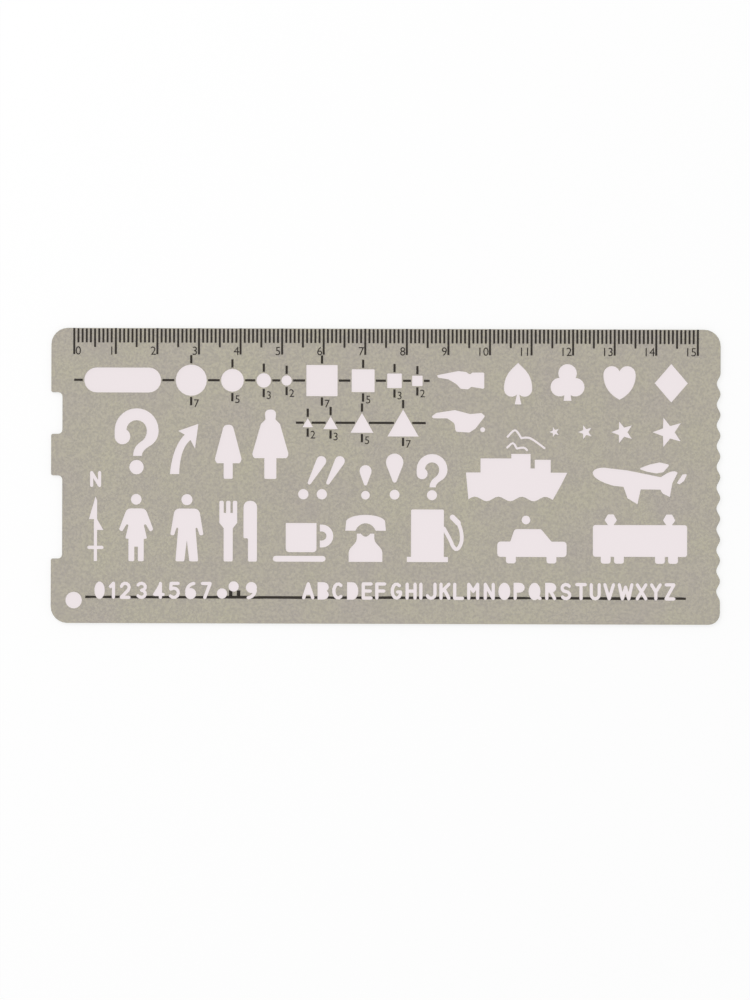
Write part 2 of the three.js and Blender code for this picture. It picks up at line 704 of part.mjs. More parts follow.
function knifeShapes() {
  const { half, height, tipRadius, bladeFoot, step } = KNIFE;
  return [
    outline([
      [-half + step, 0, FIGURE_CORNER],
      [half, 0, FIGURE_CORNER],
      [half, height, tipRadius],
      [-half, height, tipRadius],
      [-half, bladeFoot, FIGURE_CORNER],
      [-half + step, bladeFoot, FIGURE_CORNER],
    ]),
  ];
}

function cupShapes() {
  const { half, foot, top, corner } = CUP;
  const { web, straight, y, outer, inner } = CUP_HANDLE;
  const left = half + web;
  const handle = traced((path) => {
    path.moveTo(left, y - outer);
    path.absarc(left + straight, y, outer, -Math.PI / 2, Math.PI / 2, false);
    path.lineTo(left, y + outer);
    path.lineTo(left, y + inner);
    path.absarc(left + straight, y, inner, Math.PI / 2, -Math.PI / 2, true);
    path.lineTo(left, y - inner);
    path.lineTo(left, y - outer);
  });
  const bowl = outline([[-half, foot, corner], [half, foot, corner], [half, top], [-half, top]]);
  return [bowl, handle];
}

function saucerShapes() {
  const half = SAUCER.height / 2;
  const reach = SAUCER.half - half;
  return [ribbon(line(-reach, half, reach, half), SAUCER.height)];
}

// Telephone: a handset over a body with two horns

// The height of both control points of an arch that stands on foot and peaks at peak.
const archPull = (foot, peak) => foot + (peak - foot) / 0.75;

function handsetShape() {
  const { half, foot, shoulder, crown, earHalf, arch } = HANDSET;
  const shoulderHalf = half - HANDSET_TAPER;
  const crownHalf = half * 0.7;
  const archHalf = earHalf * 0.6;
  const crownPull = archPull(shoulder, crown);
  const innerPull = archPull(foot, arch);
  return traced((path) => {
    path.moveTo(earHalf, foot);
    path.lineTo(half, foot);
    path.lineTo(shoulderHalf, shoulder);
    path.bezierCurveTo(crownHalf, crownPull, -crownHalf, crownPull, -shoulderHalf, shoulder);
    path.lineTo(-half, foot);
    path.lineTo(-earHalf, foot);
    path.bezierCurveTo(-archHalf, innerPull, archHalf, innerPull, earHalf, foot);
  });
}

function phoneBodyShape() {
  const { half, side, neck, neckHalf, top, hornInner, dip } = PHONE_BODY;
  const pull = (neck - side) * 0.41; // how far the bell keeps to each end's direction
  return traced((path) => {
    path.moveTo(-half, 0);
    path.lineTo(half, 0);
    path.lineTo(half, side);
    path.bezierCurveTo(half, side + pull, neckHalf, neck - pull, neckHalf, neck);
    path.lineTo(neckHalf, top);
    path.lineTo(hornInner, top);
    path.quadraticCurveTo(0, 2 * dip - top, -hornInner, top);
    path.lineTo(-neckHalf, top);
    path.lineTo(-neckHalf, neck);
    path.bezierCurveTo(-neckHalf, neck - pull, -half, side + pull, -half, side);
    path.lineTo(-half, 0);
  });
}

// Filling pump with its hose and nozzle

function pumpShapes() {
  const { half, height, baseHalf, base } = PUMP;
  const [hoseX, hoseY] = HOSE.at(-1);
  return [
    mirrored([[baseHalf, 0], [baseHalf, base], [half, base], [half, height, FIGURE_CORNER]]),
    ribbon(through(HOSE), HOSE_WIDTH),
    ribbon(line(NOZZLE.x, NOZZLE.y, hoseX, hoseY), NOZZLE_WIDTH),
  ];
}

// Vehicles

const wheelShapes = (places, floor) =>
  places.map((x) => rectangle(x - WHEEL_HALF, WHEEL_FOOT, x + WHEEL_HALF, floor + SUNK, WHEEL_HALF / 2));

function carShapes() {
  const { half, belt, floor, roof, corner } = CAR;
  return [
    outline([
      [-half, floor, corner],
      [half, floor, corner],
      [half, belt, corner],
      [CAR_GLASS.frontFoot, belt, FIGURE_CORNER],
      [CAR_GLASS.frontTop, roof, corner],
      [CAR_GLASS.rearTop, roof, corner],
      [CAR_GLASS.rearFoot, belt, FIGURE_CORNER],
      [-half, belt, corner],
    ]),
    ...wheelShapes(CAR_WHEELS, floor),
    disc(CAR_LAMP.x, CAR_LAMP.y, CAR_LAMP.radius),
  ];
}

function pantographShape(x, roof) {
  const { half, elbow, top, neck } = PANTOGRAPH;
  return outline([
    [x - neck, roof - SUNK],
    [x + neck, roof - SUNK],
    [x + neck, roof],
    [x + half, elbow, FIGURE_CORNER],
    [x + neck, top, FIGURE_CORNER],
    [x - neck, top, FIGURE_CORNER],
    [x - half, elbow, FIGURE_CORNER],
    [x - neck, roof],
  ]);
}

function trainShapes() {
  const { half, floor, roof, corner } = TRAIN;
  return [
    rectangle(-half, floor, half, roof, corner),
    ...wheelShapes(TRAIN_WHEELS, floor),
    ...PANTOGRAPHS.map((x) => pantographShape(x, roof)),
  ];
}

// Digits and letters. Closed bowls drop out of a cut sheet, so they are open all over. Strokes run
// between these lines: left and right sides, foot and head, and the middle and quarters between.

const right = LETTER_HALF;
const left = -LETTER_HALF;
const low = LETTER_STROKE / 2;
const high = LETTER_HEIGHT - LETTER_STROKE / 2;
const mid = LETTER_HEIGHT / 2;
const edge = LETTER_HALF + LETTER_STROKE / 2;
const quarter = (high - low) / 4;
const third = (high - low) / 3;
const bowlHeight = LETTER_HEIGHT * 0.57; // of the bowls that fill half a letter

const upperBow = (x, from, to) => bow(x, mid + quarter, LETTER_HALF, quarter, from, to);
const lowerBow = (x, from, to) => bow(x, mid - quarter, LETTER_HALF, quarter, from, to);
const upperBowl = () => disc(0, LETTER_HEIGHT - bowlHeight / 2, edge, bowlHeight / 2);
const lowerBowl = () => disc(0, bowlHeight / 2, edge, bowlHeight / 2);
const spine = () => line(left, low, left, high);
const middleArm = () => line(left, mid, right * 0.8, mid);
const halfStem = () => rectangle(-edge, LETTER_HEIGHT - bowlHeight, 0, LETTER_HEIGHT);
const tailHeight = high - low - edge;

const GLYPHS = {
  0: { at: -0.4271, open: [disc(0, mid, edge * 0.93, mid)] },
  1: { at: -0.4075, strokes: bent([left * 0.6, high * 0.78], [right * 0.2, high], [right * 0.2, low]) },
  2: {
    at: -0.3888,
    strokes: [
      bow(0, high - right, right, right, 170, -35),
      ...bent([right * 0.82, mid * 1.05], [left, low], [right, low]),
    ],
  },
  3: { at: -0.364, strokes: [upperBow(left * 0.1, 150, -90), lowerBow(left * 0.1, 90, -150)] },
  4: {
    at: -0.3391,
    strokes: [line(right / 2, high, right / 2, low), line(left, third, right * 1.2, third)],
    open: [outline([[right / 2, LETTER_HEIGHT], [-edge, third], [right / 2, third]])],
  },
  5: {
    at: -0.3155,
    strokes: [
      ...bent([right, high], [left * 0.8, high], [left * 0.9, mid * 1.15]),
      bow(left * 0.1, low + third, right * 1.15, third, 130, -140),
    ],
  },
  6: {
    at: -0.291,
    strokes: [bow(right, low + edge, 2 * right, tailHeight, 95, 175)],
    open: [disc(0, edge, edge)],
  },
  7: { at: -0.2677, strokes: bent([left, high], [right, high], [left * 0.37, low]) },
  9: {
    at: -0.2002,
    strokes: [bow(left, high - edge, 2 * right, tailHeight, -85, -5)],
    open: [disc(0, LETTER_HEIGHT - edge, edge)],
  },
  A: {
    at: -0.1152,
    strokes: bent([left * 1.15, low], [0, high], [right * 1.15, low]),
    open: [outline([[left * 0.8, third], [right * 0.8, third], [0, high]])],
  },
  B: { at: -0.0929, open: [rectangle(-edge, 0, 0, LETTER_HEIGHT), upperBowl(), lowerBowl()] },
  C: { at: -0.0711, strokes: [bow(right * 0.1, mid, right * 1.1, high - mid, 50, 310)] },
  D: { at: -0.0488, open: [rectangle(-edge, 0, 0, LETTER_HEIGHT), disc(0, mid, edge, mid)] },
  E: { at: -0.0271, strokes: [...bent([right, high], [left, high], [left, low], [right, low]), middleArm()] },
  F: { at: -0.0068, strokes: [...bent([right, high], [left, high], [left, low]), middleArm()] },
  G: {
    at: 0.0168,
    strokes: [
      bow(0, mid, right * 1.1, high - mid, 50, 330),
      ...bent([right * 0.2, mid * 0.9], [right, mid * 0.9], [right, mid * 0.6]),
    ],
  },
  H: { at: 0.0385, strokes: [spine(), line(right, low, right, high), line(left, mid, right, mid)] },
  I: { at: 0.0531, strokes: [line(0, low, 0, high)] },
  J: {
    at: 0.0683,
    strokes: [line(right, high, right, low + right), bow(0, low + right, right, right, 0, -160)],
  },
  K: {
    at: 0.0891,
    strokes: [spine(), line(right, high, left, mid * 0.86), line(left * 0.1, mid * 1.14, right, low)],
  },
  L: { at: 0.1096, strokes: bent([left, high], [left, low], [right, low]) },
  M: {
    at: 0.1313,
    strokes: bent(
      [left * 1.13, low],
      [left * 1.13, high],
      [0, mid],
      [right * 1.13, high],
      [right * 1.13, low],
    ),
  },
  N: { at: 0.1553, strokes: bent([left, low], [left, high], [right, low], [right, high]) },
  O: { at: 0.1779, open: [disc(0, mid, edge * 1.07, mid)] },
  P: { at: 0.2, strokes: [spine()], open: [halfStem(), upperBowl()] },
  Q: {
    at: 0.223,
    strokes: [line(right / 2, low * 2.5, right * 1.4, low)],
    open: [disc(0, mid, edge * 1.07, mid)],
  },
  R: { at: 0.2472, strokes: [spine(), line(0, mid, right, low)], open: [halfStem(), upperBowl()] },
  S: { at: 0.2699, strokes: [upperBow(0, 30, 270), lowerBow(0, 90, -150)] },
  T: { at: 0.2925, strokes: [line(left * 1.1, high, right * 1.1, high), line(0, high, 0, low)] },
  U: {
    at: 0.3137,
    strokes: [
      line(left, high, left, low + right),
      bow(0, low + right, right, right, 180, 360),
      line(right, low + right, right, high),
    ],
  },
  V: { at: 0.3345, strokes: bent([left * 1.1, high], [0, low], [right * 1.1, high]) },
  W: {
    at: 0.359,
    strokes: [
      ...bent([left * 1.6, high], [left * 0.8, low], [0, high * 0.85]),
      ...bent([0, high * 0.85], [right * 0.8, low], [right * 1.6, high]),
    ],
  },
  X: {
    at: 0.3829,
    strokes: [line(left * 1.1, low, right * 1.1, high), line(left * 1.1, high, right * 1.1, low)],
  },
  Y: {
    at: 0.4043,
    strokes: [...bent([left * 1.1, high], [0, mid], [right * 1.1, high]), line(0, mid, 0, low)],
  },
  Z: { at: 0.4254, strokes: bent([left, high], [right, high], [left, low], [right, low]) },
};

const glyphShapes = ({ strokes = [], open = [] }) => [
  ...strokes.map((curve) => ribbon(curve, LETTER_STROKE, LETTER_ERROR)),
  ...open,
];

// Every cut-out, with the place of its own zero point on the sheet

const slotReach = (SLOT_LENGTH - SLOT_WIDTH) / 2;

const cutOuts = [
  { x: LEFT + HOLE_INSET, y: BOTTOM + HOLE_INSET, shapes: [disc(0, 0, HOLE_DIAMETER / 2)] },
  { x: slot.x, y: shapeY, shapes: [ribbon(line(-slotReach, 0, slotReach, 0), SLOT_WIDTH)] },
  ...circles.map(({ x, size }) => ({ x, y: shapeY, shapes: [disc(0, 0, size / 2)] })),
  ...squares.map(({ x, size }) => {
    const half = size / 2;
    return { x, y: shapeY, shapes: [rectangle(-half, -half, half, half, SQUARE_CORNER)] };
  }),
  ...triangles.map(({ x, size }) => ({ x, y: triangleY, shapes: [triangleShape(size)] })),
  ...stars.map(({ x, size }) => ({ x, y: triangleY - STAR_STEP, shapes: [starShape(size)] })),
  { x: alongX(SPADE.at), y: suitY, shapes: spadeShapes() },
  { x: alongX(CLUB.at), y: suitY, shapes: clubShapes() },
  { x: alongX(HEART.at), y: suitY, shapes: heartShapes() },
  { x: alongX(DIAMOND.at), y: suitY, shapes: diamondShapes() },
  { x: alongX(HAND_AT), y: shapeY + HAND_RISE, shapes: [outline(HAND)] },
  { x: alongX(LOWER_HAND_AT), y: triangleY + LOWER_HAND_RISE, shapes: lowerHandShapes() },
  { x: alongX(GULL_AT), y: markY + BRIDGE.top + GULL_RISE, shapes: gullShapes() },
  { x: alongX(BIG_QUESTION.at), y: rowY(QUESTION_ROW), shapes: questionShapes(BIG_QUESTION.scale) },
  {
    x: alongX(SMALL_QUESTION.at),
    y: markY + SMALL_QUESTION.rise,
    shapes: questionShapes(SMALL_QUESTION.scale),
  },
  ...SLANTED_MARKS.map((at) => ({ x: alongX(at), y: markY, shapes: slantedShapes() })),
  { x: alongX(SHORT_MARK.at), y: markY, shapes: exclamationShapes(SHORT_MARK) },
  { x: alongX(TALL_MARK.at), y: markY, shapes: exclamationShapes(TALL_MARK) },
  { x: alongX(ARROW_AT), y: rowY(ARROW_ROW), shapes: [drawn(ARROW)] },
  { x: alongX(SMALL_TREE.at), y: treeY, shapes: treeShapes(SMALL_TREE) },
  { x: alongX(BIG_TREE.at), y: treeY, shapes: treeShapes(BIG_TREE, BIG_TREE_NECK) },
  { x: alongX(SHIP.at), y: markY, shapes: shipShapes() },
  { x: alongX(PLANE_AT), y: markY, shapes: [drawn(PLANE_HULL), outline(FAR_WING), outline(FAR_TAIL)] },
  { x: alongX(NORTH_AT), y: figureY, shapes: northShapes() },
  { x: alongX(WOMAN.at), y: figureY, shapes: womanShapes() },
  { x: alongX(MAN.at), y: figureY, shapes: manShapes() },
  { x: alongX(FORK.at), y: figureY, shapes: forkShapes() },
  { x: alongX(KNIFE.at), y: figureY, shapes: knifeShapes() },
  { x: alongX(CUP.at), y: figureY, shapes: cupShapes() },
  { x: alongX(SAUCER.at), y: figureY, shapes: saucerShapes() },
  { x: alongX(PHONE_AT), y: figureY, shapes: [handsetShape(), phoneBodyShape()] },
  { x: alongX(PUMP.at), y: figureY, shapes: pumpShapes() },
  { x: alongX(CAR.at), y: figureY, shapes: carShapes() },
  { x: alongX(TRAIN.at), y: figureY, shapes: trainShapes() },
  ...DIGIT_LOOPS.map(({ at, y }) => {
    return { x: alongX(at), y: letterY + y, shapes: [disc(0, 0, DIGIT_LOOP / 2)] };
  }),
  ...Object.values(GLYPHS).map((glyph) => {
    return { x: alongX(glyph.at), y: letterY, shapes: glyphShapes(glyph) };
  }),
];

// Sheet

function sheetSolid() {
  const blank = new THREE.ExtrudeGeometry(sheetOutline(), { depth: THICKNESS, bevelEnabled: false });
  let sheet = solidOf(blank);
  for (const { x, y, shapes } of cutOuts) {
    for (const shape of shapes) sheet = sheet.subtract(cutter(shape, x, y));
  }
  return sheet;
}

const plastic = new THREE.MeshStandardMaterial({ color: 0xada89a, roughness: 0.35, metalness: 0 });
const ink = new THREE.MeshStandardMaterial({ color: 0x2d261e, roughness: 0.6, metalness: 0 });

const part = new THREE.Group();

const sheet = new THREE.Mesh(geometryOf(sheetSolid()), plastic);
sheet.name = "template_sheet";
part.add(sheet);

// Ink lines: thin films on the top face

function inkLine(name, left, bottom, right, top) {
  const film = new THREE.Mesh(new THREE.BoxGeometry(right - left, top - bottom, INK_THICKNESS), ink);
  film.name = name;
  film.position.set((left + right) / 2, (bottom + top) / 2, THICKNESS + INK_THICKNESS / 2);
  part.add(film);
}

// The axis of a row: a dash in every web between its cut-outs, a lead before and a tail after.
function axisLine(name, y, cuts, lead) {
  const first = cuts[0];
  const last = cuts.at(-1);
  const starts = [first.x - first.reach - lead, ...cuts.map((cut) => cut.x + cut.half + INK_CLEARANCE)];
  const ends = [...cuts.map((cut) => cut.x - cut.half - INK_CLEARANCE), last.x + last.reach + AXIS_TAIL];
  starts.forEach((start, i) => {
    inkLine(`${name}_${i + 1}`, start, y - AXIS_WIDTH / 2, ends[i], y + AXIS_WIDTH / 2);
  });
}

// The index marks over and under each cut-out of a row.
function indexMarks(name, y, cuts) {
  cuts.forEach(({ x, rise }, i) => {
    const near = rise + INK_CLEARANCE;
    const far = near + INDEX_LENGTH;
    inkLine(`${name}_above_${i + 1}`, x - AXIS_WIDTH / 2, y + near, x + AXIS_WIDTH / 2, y + far);
    inkLine(`${name}_below_${i + 1}`, x - AXIS_WIDTH / 2, y - far, x + AXIS_WIDTH / 2, y - near);
  });
}

// Each cut-out's half width on the axis, its reach to either side and its rise over the axis
const slotCut = { x: slot.x, half: SLOT_LENGTH / 2, reach: SLOT_LENGTH / 2 };
const shapeCuts = [...circles, ...squares].map(({ x, size }) => {
  return { x, half: size / 2, reach: size / 2, rise: size / 2 };
});
const triangleCuts = triangles.map(({ x, size }) => {
  return { x, half: size / 4, reach: size / 2, rise: triangleHeight(size) / 2 };
});

axisLine("shape_axis", shapeY, [slotCut, ...shapeCuts], SHAPE_LEAD);
indexMarks("shape_index", shapeY, shapeCuts);
axisLine("triangle_axis", triangleY, triangleCuts, TRIANGLE_LEAD);
indexMarks("triangle_index", triangleY, triangleCuts);

for (let i = 0; i <= scaleCentimetres; i += 1) {
  const x = i * CENTIMETRE - scaleLength / 2;
  const half = CENTIMETRE_MARK_WIDTH / 2;
  inkLine(`centimetre_mark_${i}`, x - half, TOP - CENTIMETRE_MARK_LENGTH, x + half, TOP);
}

export default part;
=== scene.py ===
"""Template ruler: the smoke plastic sheet, its screen print and the table it lies on."""

import json
import math

import bmesh
import bpy
from bpy.props import FloatProperty, FloatVectorProperty, PointerProperty
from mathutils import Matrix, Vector

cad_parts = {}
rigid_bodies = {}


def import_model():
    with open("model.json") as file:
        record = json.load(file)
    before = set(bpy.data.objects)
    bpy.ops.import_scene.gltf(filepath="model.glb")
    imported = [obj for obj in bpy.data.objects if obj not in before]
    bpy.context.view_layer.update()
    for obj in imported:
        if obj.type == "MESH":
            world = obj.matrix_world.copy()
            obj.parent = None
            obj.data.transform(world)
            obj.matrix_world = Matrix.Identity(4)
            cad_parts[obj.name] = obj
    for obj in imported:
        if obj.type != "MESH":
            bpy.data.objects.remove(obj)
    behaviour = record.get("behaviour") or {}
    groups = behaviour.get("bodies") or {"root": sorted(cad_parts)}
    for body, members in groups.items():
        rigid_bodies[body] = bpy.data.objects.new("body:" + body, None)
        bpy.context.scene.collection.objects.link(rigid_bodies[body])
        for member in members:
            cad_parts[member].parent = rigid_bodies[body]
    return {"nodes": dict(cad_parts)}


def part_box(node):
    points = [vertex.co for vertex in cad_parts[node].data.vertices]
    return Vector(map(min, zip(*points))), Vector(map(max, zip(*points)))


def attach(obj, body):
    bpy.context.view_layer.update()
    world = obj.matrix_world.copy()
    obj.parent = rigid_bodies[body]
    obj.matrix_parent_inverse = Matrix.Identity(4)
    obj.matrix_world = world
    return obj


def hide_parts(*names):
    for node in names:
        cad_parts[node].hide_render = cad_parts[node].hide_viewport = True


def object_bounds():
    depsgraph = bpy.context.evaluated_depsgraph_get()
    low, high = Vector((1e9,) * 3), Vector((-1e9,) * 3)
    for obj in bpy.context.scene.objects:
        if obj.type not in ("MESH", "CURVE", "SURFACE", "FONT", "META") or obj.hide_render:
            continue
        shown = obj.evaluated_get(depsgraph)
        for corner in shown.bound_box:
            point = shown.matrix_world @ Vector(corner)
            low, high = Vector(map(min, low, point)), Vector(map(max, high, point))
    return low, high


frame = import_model()
CAD_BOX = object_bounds()
SHEET = "template_sheet"
SHEET_LOW, SHEET_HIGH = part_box(SHEET)
BACK, FACE = SHEET_LOW.z, SHEET_HIGH.z
INK_TOP = CAD_BOX[1].z
INK_MIDDLE = (FACE + INK_TOP) / 2
INK_FILM = INK_TOP - FACE

bl_info = {
    "name": "Template Ruler",
    "version": (1, 0, 0),
    "blender": (4, 5, 0),
    "location": "View3D > Sidebar > Template Ruler",
    "description": "Makes the cut sheet, the screen print and the stage of a template ruler",
    "category": "Object",
}

MM = 0.001
CLOSE = MM / 1000  # heights nearer than this are the same
WELD = MM / 10000  # points nearer than this are one point
TIP = MM / 100  # rim points nearer than this, at the tip of a slit, are one point
SMOOTH = math.radians(30)  # a wall is smooth where its faces turn less than this
FLAT = math.radians(1)  # faces that turn less than this are one face

# Centimetre scale
CENTIMETRES = 15
CENTIMETRE = 10 * MM
HALF = 5 * MM
SCALE_START = -CENTIMETRES * CENTIMETRE / 2
MARKS_IN_HALF = 4  # millimetre marks between two longer ones
MARK_ROUNDING = 0.25  # of a mark's width

# Printed sizes in millimetres, and the index marks that they stand by
SHAPE_DIGITS = "75327532"
TRIANGLE_DIGITS = "2357"
SHAPE_MARKS = ["shape_index_below_%d" % number for number in range(1, len(SHAPE_DIGITS) + 1)]
TRIANGLE_MARKS = ["triangle_index_below_%d" % number for number in range(1, len(TRIANGLE_DIGITS) + 1)]
NUMERAL_STEPS = 3  # steps in each curve of a numeral

# Letter row: the guide line and the two marks beside the upper loop of the eight
GUIDE_LEFT, GUIDE_RIGHT = -72.2 * MM, 72.3 * MM
GUIDE_Y = -29.2 * MM
LOOP_MARKS = (-37.2 * MM, -35.3 * MM)
LOOP_MARK_TOP = -27.5 * MM

# Noise of the finishes, in grains to the metre
CLOUDS = 70
FLECKS = 1700
SATIN = 340
PORES = 5200
SCORES = 7000
INK_LAY = 2600
INK_TOOTH = 8000
REACH = 0.2  # most noise lies this near to a half
FLECK_REACH = 0.1

# Shares by which noise makes red, green and blue darker and lighter
CLOUD_DEPTHS = (0.07, 0.1, -0.03)
FLECK_DEPTHS = (0.25, 0.25, 0.25)
SCORE_DEPTHS = (0.08, 0.08, 0.08)
INK_DEPTHS = (0.22, 0.22, 0.22)
FLECK_TINT = (0.93, 0.93, 0.93)

# Other values of the finishes
PLASTIC_IOR = 1.49
SCORE_STRETCH = (1, 1, 0.15)
INK_SPECULAR = 0.25
PAPER_ROUGHNESS = 0.9

# Photograph: how the sheet lies in a frame of 750 by 1000 pixels
FRAME_HEIGHT = 1000
PIXELS_PER_METRE = 4157
AIM = (-2.55 * MM, -5.7 * MM)  # the place under the middle of the frame
TILT = 0.003  # turn of the camera, in radians
NEAREST, FARTHEST = 0.01, 20  # what the camera sees
LAMP_PLACE = Vector((-0.6, 0.5, 1.0))


def length(name, description, default):
    """A size in metres that a user may change."""
    return FloatProperty(name=name, description=description, default=default, min=0, precision=5,
                         unit="LENGTH")


def colour(name, description, default):
    """A colour that a user may change."""
    return FloatVectorProperty(name=name, description=description, default=default, size=3,
                               min=0, max=1, subtype="COLOR")


def share(name, description, default):
    """A number from nought to one that a user may change."""
    return FloatProperty(name=name, description=description, default=default, min=0, max=1,
                         subtype="FACTOR")


class SheetSettings(bpy.types.PropertyGroup):
    """The cut sheet."""

    rim: length("Rim", "Width of the small chamfer round every edge and cut-out", 0.06 * MM)
    tint: colour("Smoke Tint", "Colour of the plastic", (0.318, 0.297, 0.168))
    cover: share("Cover", "How much each face of the sheet hides what lies behind it", 0.45)
    rim_tint: colour("Rim Tint", "Colour of the frosted cut edge", (0.52, 0.49, 0.40))
    rim_cover: share("Rim Cover", "How much the cut edge hides what lies behind it", 0.7)


class PrintSettings(bpy.types.PropertyGroup):
    """The screen print."""

    ink: colour("Ink", "Colour of the print", (0.022, 0.017, 0.012))
    mark_width: length("Mark Width", "Width of a millimetre mark", 0.49 * MM)
    mark_inset: length("Mark Inset", "From the scale edge to the start of a mark", 0.12 * MM)
    short_mark: length("Short Mark", "From the scale edge to the end of a millimetre mark", 3.5 * MM)
    half_mark: length("Half Mark", "From the scale edge to the end of a five millimetre mark", 4.6 * MM)
    numeral: length("Numeral", "Type size of the numerals on the scale", 2.9 * MM)
    numeral_gap: length("Numeral Gap", "From a centimetre mark to its numeral", 0.0)
    numeral_drop: length("Numeral Drop", "From the end of a centimetre mark down to its numeral",
                         0.12 * MM)
    digit: length("Size Digit", "Type size of the digits by the cut-outs", 2.7 * MM)
    digit_gap: length("Digit Gap", "From an index mark to its digit", 0.3 * MM)
    digit_drop: length("Digit Drop", "From the end of an index mark down to its digit", 0.42 * MM)
    guide: length("Guide Line", "Thickness of the line under the letters", 0.62 * MM)
    loop_mark: length("Loop Mark", "Width of the marks beside the upper loop of the eight", 0.85 * MM)


class StageSettings(bpy.types.PropertyGroup):
    """The table, the lights and the camera."""

    floor_size: length("Floor Size", "Side of the square floor", 6)
    floor_drop: length("Floor Drop", "From the back face down to the floor", 0.15 * MM)
    floor: colour("Floor", "Colour of the floor", (1.0, 1.0, 1.0))
    floor_glow: share("Floor Glow", "How much of the floor's colour needs no light", 0.7)
    # The paper under the sheet is painted shade: a darker, pinker white than the floor, most of it
    # shown to the camera without light.
    backing_drop: length("Backing Drop", "From the back face down to the backing", 0.05 * MM)
    backing: colour("Backing", "Colour of the paper under the sheet", (0.855, 0.783, 0.799))
    backing_glow: share("Backing Glow", "How much of the backing's colour needs no light", 0.92)
    lens: FloatProperty(name="Lens", description="Focal length of the camera", default=200, min=1,
                        unit="CAMERA")
    world: FloatProperty(name="World", description="Strength of the even light", default=0.75, min=0)
    lamp: FloatProperty(name="Lamp", description="Power of the soft lamp", default=5, min=0,
                        unit="POWER")
    lamp_side: length("Lamp Side", "Side of the soft square lamp", 0.9)


# Working with objects and meshes

def pick(*objects):
    """Only these objects are selected, and the last of them is active."""
    if bpy.context.mode != "OBJECT":
        bpy.ops.object.mode_set(mode="OBJECT")
    bpy.ops.object.select_all(action="DESELECT")
    for item in objects:
        item.select_set(True)
        bpy.context.view_layer.objects.active = item


def edit(piece, kind="FACE"):
    """Edit mode on one piece with nothing selected. Gives its mesh."""
    pick(piece)
    bpy.ops.object.mode_set(mode="EDIT")
    bpy.ops.mesh.select_mode(type=kind)
    bpy.ops.mesh.select_all(action="DESELECT")
    return bmesh.from_edit_mesh(piece.data)


def choose(piece, items, test):
    """Selects those faces, edges or points of the edited piece that pass a test."""
    for item in items:
        item.select_set(test(item))
    bmesh.update_edit_mesh(piece.data)


def flat_at(face, level):
    """Does a face lie flat at this height?"""
    return all(abs(point.co.z - level) < CLOSE for point in face.verts)


def on_rim(point, level):
    """Does a point lie at this height, where the flat face there ends?"""
    if abs(point.co.z - level) >= CLOSE:
        return False
    return not all(flat_at(face, level) for face in point.link_faces)


def upright(edge):
    """Do the ends of an edge lie at two heights?"""
    first, second = edge.verts
    return abs(first.co.z - second.co.z) > CLOSE


def settle(piece):
    """Puts the piece's place, turn and size into its mesh."""
    pick(piece)
    bpy.ops.object.transform_apply(location=True, rotation=True, scale=True)


def weld(piece):
    """Joins the points that lie together, and leaves the piece in edit mode, all selected."""
    edit(piece)
    bpy.ops.mesh.select_all(action="SELECT")
    bpy.ops.mesh.remove_doubles(threshold=WELD)


def cleaned(piece):
    """Joins the points that lie together, takes out slivers and turns every face outwards."""
    weld(piece)
    for _ in range(2):  # a sliver can lie behind another
        bpy.ops.mesh.dissolve_degenerate(threshold=CLOSE)
    bpy.ops.mesh.normals_make_consistent(inside=False)
    pick(piece)


def joined(name, pieces):
    """One piece of several."""
    pick(*pieces)
    bpy.ops.object.join()
    piece = bpy.context.view_layer.objects.active
    piece.name = piece.data.name = name
    return piece


def sheet_copy(name):
    """A copy of the sheet as it is cut, with its points merged."""
    node = frame["nodes"][SHEET]
    piece = bpy.data.objects.new(name, node.data.copy())
    bpy.context.collection.objects.link(piece)
    piece.data.name = name
    piece.data.materials.clear()
    weld(piece)
    pick(piece)
    return piece


def applied(piece, name, kind, **values):
    """A modifier, set and applied."""
    pick(piece)
    modifier = piece.modifiers.new(name, kind)
    for key, value in values.items():
        setattr(modifier, key, value)
    bpy.ops.object.modifier_apply(modifier=name)


def repeated(piece, count, pitch):
    """Copies of a piece's mesh in a row along X."""
    applied(piece, "row", "ARRAY", use_relative_offset=False, use_constant_offset=True,
            constant_offset_displace=(pitch, 0, 0), count=count)


def printed(piece, material):
    """Finishes a piece of the print."""
    piece.data.materials.clear()
    piece.data.materials.append(material)
    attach(piece, "root")


# Materials

def new_material(name):
    """A material, its node tree, its shader and its object coordinates."""
    material = bpy.data.materials.new(name)
    material.use_nodes = True
    tree = material.node_tree
    shader = tree.nodes["Principled BSDF"]
    place = tree.nodes.new("ShaderNodeTexCoord")
    return material, tree, shader, place.outputs["Object"]


def grain(tree, place, scale, detail):
    """Noise with this many grains to the metre."""
    noise = tree.nodes.new("ShaderNodeTexNoise")
    noise.inputs["Scale"].default_value = scale
    noise.inputs["Detail"].default_value = detail
    tree.links.new(place, noise.inputs["Vector"])
    return noise.outputs["Fac"]


def spread(tree, value, low, high):
    """Noise brought between two values."""
    ramp = tree.nodes.new("ShaderNodeMapRange")
    ramp.inputs["From Min"].default_value = 0.5 - REACH
    ramp.inputs["From Max"].default_value = 0.5 + REACH
    ramp.inputs["To Min"].default_value = low
    ramp.inputs["To Max"].default_value = high
    tree.links.new(value, ramp.inputs["Value"])
    return ramp.outputs["Result"]


def shaded(tree, value, tint, depths, reach=REACH):
    """A colour that noise makes darker and lighter, by one share for each of its parts."""
    ramp = tree.nodes.new("ShaderNodeValToRGB")
    for element, sign in zip(ramp.color_ramp.elements, (-1, 1)):
        element.position = 0.5 + sign * reach
        element.color = [part * (1 + sign * depth) for part, depth in zip(tint, depths)] + [1]
    tree.links.new(value, ramp.inputs["Fac"])
    return ramp.outputs["Color"]


def multiplied(tree, first, second):
    """Two colours multiplied."""
    mix = tree.nodes.new("ShaderNodeMix")
    mix.data_type = "RGBA"
    mix.blend_type = "MULTIPLY"
    mix.inputs["Factor"].default_value = 1
    tree.links.new(first, mix.inputs["A"])
    tree.links.new(second, mix.inputs["B"])
    return mix.outputs["Result"]


